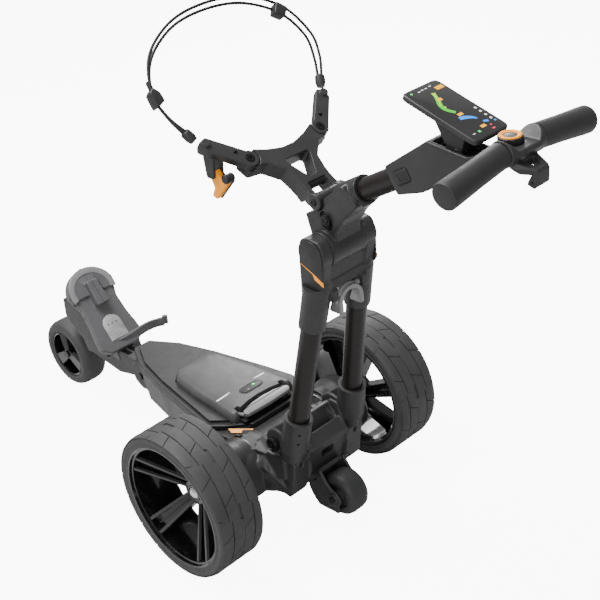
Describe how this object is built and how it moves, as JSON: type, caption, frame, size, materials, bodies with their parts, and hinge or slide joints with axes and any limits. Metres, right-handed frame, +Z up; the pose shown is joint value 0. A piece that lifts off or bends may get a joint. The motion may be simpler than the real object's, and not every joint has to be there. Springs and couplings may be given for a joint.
{
  "type": "electric golf trolley",
  "caption": "Three-wheeled folding electric golf trolley with a bag platform, a Y-shaped bag bracket with elastic cords, and a T-handle with a speed dial and display.",
  "frame": {"origin": "on the ground, midway between the drive wheels and straight below their axle", "axes": "+X the trolley's right, +Y forwards away from the user, +Z up"},
  "size_m": [0.6, 1.4814, 1.0423],
  "materials": {
    "charcoal_plastic": "satin, fine moulded grain",
    "dark_deck": "matte moulded rim",
    "battery_lid": "satin graphite",
    "cast_alloy": "satin powder coat",
    "dark_tube": "dark anodised",
    "tyre_rubber": "matte rubber",
    "soft_rubber": "matte soft touch",
    "gloss_black": "gloss",
    "bright_metal": "polished",
    "steel": "brushed",
    "black_steel": "black oxide",
    "silver_plastic": "silver satin",
    "light_grey_plastic": "satin",
    "orange_plastic": "satin",
    "elastic_cord": "braided cover",
    "screen_glass": "gloss glass over a lit screen",
    "circuit_board": "solder mask",
    "cell_pack": "shrink wrap",
    "motor_metal": "plated"
  },
  "bodies": {
    "chassis": {"chassis_lower_shell": "charcoal_plastic", "chassis_upper_shell": "dark_deck", "gearbox_housings": "charcoal_plastic", "geared_motors": "motor_metal", "axle_bearings": "steel", "control_board": "circuit_board", "wiring_loom": "elastic_cord", "lower_pivot_pins": "black_steel", "front_hinge_pin": "black_steel", "side_badges": "orange_plastic", "chassis_screws": "black_steel", "anti_tip_fork": "cast_alloy", "anti_tip_axle": "black_steel"},
    "anti_tip_roller": {"anti_tip_wheel": "soft_rubber"},
    "left_wheel": {"left_tyre": "tyre_rubber", "left_rim": "gloss_black", "left_axle": "steel"},
    "left_release": {"left_release_button": "bright_metal"},
    "right_wheel": {"right_tyre": "tyre_rubber", "right_rim": "gloss_black", "right_axle": "steel"},
    "right_release": {"right_release_button": "bright_metal"},
    "front_arm_body": {"front_arm": "charcoal_plastic", "bag_platform": "charcoal_plastic", "platform_panel": "light_grey_plastic", "front_axle": "black_steel"},
    "front_wheel": {"front_tyre": "tyre_rubber", "front_hub": "gloss_black"},
    "battery": {"battery_case": "charcoal_plastic", "battery_cover": "battery_lid", "battery_cells": "cell_pack"},
    "battery_switch": {"battery_button": "soft_rubber"},
    "battery_grip": {"battery_handle": "silver_plastic"},
    "legs": {"leg_sockets": "charcoal_plastic", "leg_tubes": "dark_tube", "upper_yoke": "charcoal_plastic", "pivot_caps": "charcoal_plastic", "upper_pivot_pin": "steel"},
    "fold_release": {"fold_lever": "light_grey_plastic"},
    "head": {"head_casting": "charcoal_plastic", "head_bolts": "black_steel", "stem_tube": "dark_tube", "bag_arm_pin": "steel"},
    "handle": {"handle_housing": "charcoal_plastic", "grips": "soft_rubber", "accessory_bracket": "charcoal_plastic"},
    "height_release": {"height_button": "soft_rubber"},
    "dial": {"dial_knob": "soft_rubber", "dial_ring": "orange_plastic"},
    "dial_switch": {"dial_button": "charcoal_plastic"},
    "display": {"display_housing": "gloss_black", "display_glass": "screen_glass", "display_cradle": "charcoal_plastic"},
    "bag_bracket": {"bag_yoke": "charcoal_plastic", "cradle_bolts": "black_steel", "bag_cords": "elastic_cord", "cord_fittings": "charcoal_plastic"},
    "left_cradle": {"left_cradle_arm": "charcoal_plastic"},
    "right_cradle": {"right_cradle_arm": "charcoal_plastic"},
    "hook": {"strap_hook": "orange_plastic"}
  },
  "joints": [
    {"name": "left_wheel_spin", "type": "hinge", "parent": "chassis", "child": "left_wheel", "pos_m": [0, 0, 0.153], "axis": [1, 0, 0], "continuous": true},
    {"name": "right_wheel_spin", "type": "hinge", "parent": "chassis", "child": "right_wheel", "pos_m": [0, 0, 0.153], "axis": [1, 0, 0], "continuous": true},
    {"name": "left_release_press", "type": "slide", "parent": "left_wheel", "child": "left_release", "axis": [1, 0, 0], "range_m": [0, 0.003], "stiffness_N_per_m": 400, "springref_m": -0.001},
    {"name": "right_release_press", "type": "slide", "parent": "right_wheel", "child": "right_release", "axis": [-1, 0, 0], "range_m": [0, 0.003], "stiffness_N_per_m": 400, "springref_m": -0.001},
    {"name": "front_wheel_spin", "type": "hinge", "parent": "front_arm_body", "child": "front_wheel", "pos_m": [0, 0.756, 0.085], "axis": [1, 0, 0], "continuous": true},
    {"name": "anti_tip_spin", "type": "hinge", "parent": "chassis", "child": "anti_tip_roller", "pos_m": [0, -0.169, 0.093], "axis": [1, 0, 0], "continuous": true},
    {"name": "leg_fold", "type": "hinge", "parent": "chassis", "child": "legs", "pos_m": [0, -0.094, 0.232], "axis": [-1, 0, 0], "range_deg": [0, 95]},
    {"name": "head_fold", "type": "hinge", "parent": "legs", "child": "head", "pos_m": [0, -0.216, 0.656], "axis": [1, 0, 0], "range_deg": [0, 118]},
    {"name": "bracket_fold", "type": "hinge", "parent": "head", "child": "bag_bracket", "pos_m": [0, -0.205, 0.741], "axis": [1, 0, 0], "range_deg": [0, 65]},
    {"name": "front_fold", "type": "hinge", "parent": "chassis", "child": "front_arm_body", "pos_m": [0, 0.43, 0.15], "axis": [-1, 0, 0], "range_deg": [0, 140]},
    {"name": "handle_slide", "type": "slide", "parent": "head", "child": "handle", "axis": [0, -0.8796, 0.4756], "range_m": [-0.04, 0.02]},
    {"name": "height_button_press", "type": "slide", "parent": "handle", "child": "height_release", "axis": [1, 0, 0], "range_m": [0, 0.0025], "stiffness_N_per_m": 400, "springref_m": -0.001},
    {"name": "dial_turn", "type": "hinge", "parent": "handle", "child": "dial", "pos_m": [0, -0.59, 0.927], "axis": [0, 0, 1], "continuous": true},
    {"name": "dial_button_press", "type": "slide", "parent": "dial", "child": "dial_switch", "axis": [0, 0, -1], "range_m": [0, 0.0015], "stiffness_N_per_m": 600, "springref_m": -0.001},
    {"name": "display_tilt", "type": "hinge", "parent": "handle", "child": "display", "pos_m": [0, -0.506, 0.893], "axis": [1, 0, 0], "range_deg": [-12, 3]},
    {"name": "left_cradle_swing", "type": "hinge", "parent": "bag_bracket", "child": "left_cradle", "pos_m": [-0.084, -0.11283, 0.81901], "axis": [0, -0.6293, 0.7771], "range_deg": [-10, 10]},
    {"name": "right_cradle_swing", "type": "hinge", "parent": "bag_bracket", "child": "right_cradle", "pos_m": [0.084, -0.11283, 0.81901], "axis": [0, -0.6293, 0.7771], "range_deg": [-10, 10]},
    {"name": "hook_swing", "type": "hinge", "parent": "left_cradle", "child": "hook", "pos_m": [-0.13, -0.069, 0.799], "axis": [1, 0, 0], "range_deg": [-25, 20]},
    {"name": "fold_lever_squeeze", "type": "hinge", "parent": "legs", "child": "fold_release", "pos_m": [0, -0.227, 0.569], "axis": [-1, 0, 0], "range_deg": [0, 8]},
    {"name": "battery_lift", "type": "slide", "parent": "chassis", "child": "battery", "axis": [0, 0, -1], "range_m": [-0.12, 0]},
    {"name": "battery_handle_flip", "type": "hinge", "parent": "battery", "child": "battery_grip", "pos_m": [0, 0.058, 0.215], "axis": [1, 0, 0], "range_deg": [-85, 0]},
    {"name": "battery_button_press", "type": "slide", "parent": "battery", "child": "battery_switch", "axis": [0, 0, -1], "range_m": [0, 0.0012], "stiffness_N_per_m": 600, "springref_m": -0.001}
  ],
  "couplings": [
    {"joint": "head_fold", "follows": "leg_fold", "ratio": 1.2421},
    {"joint": "bracket_fold", "follows": "leg_fold", "ratio": 0.6842},
    {"joint": "front_fold", "follows": "leg_fold", "ratio": 1.4736}
  ]
}
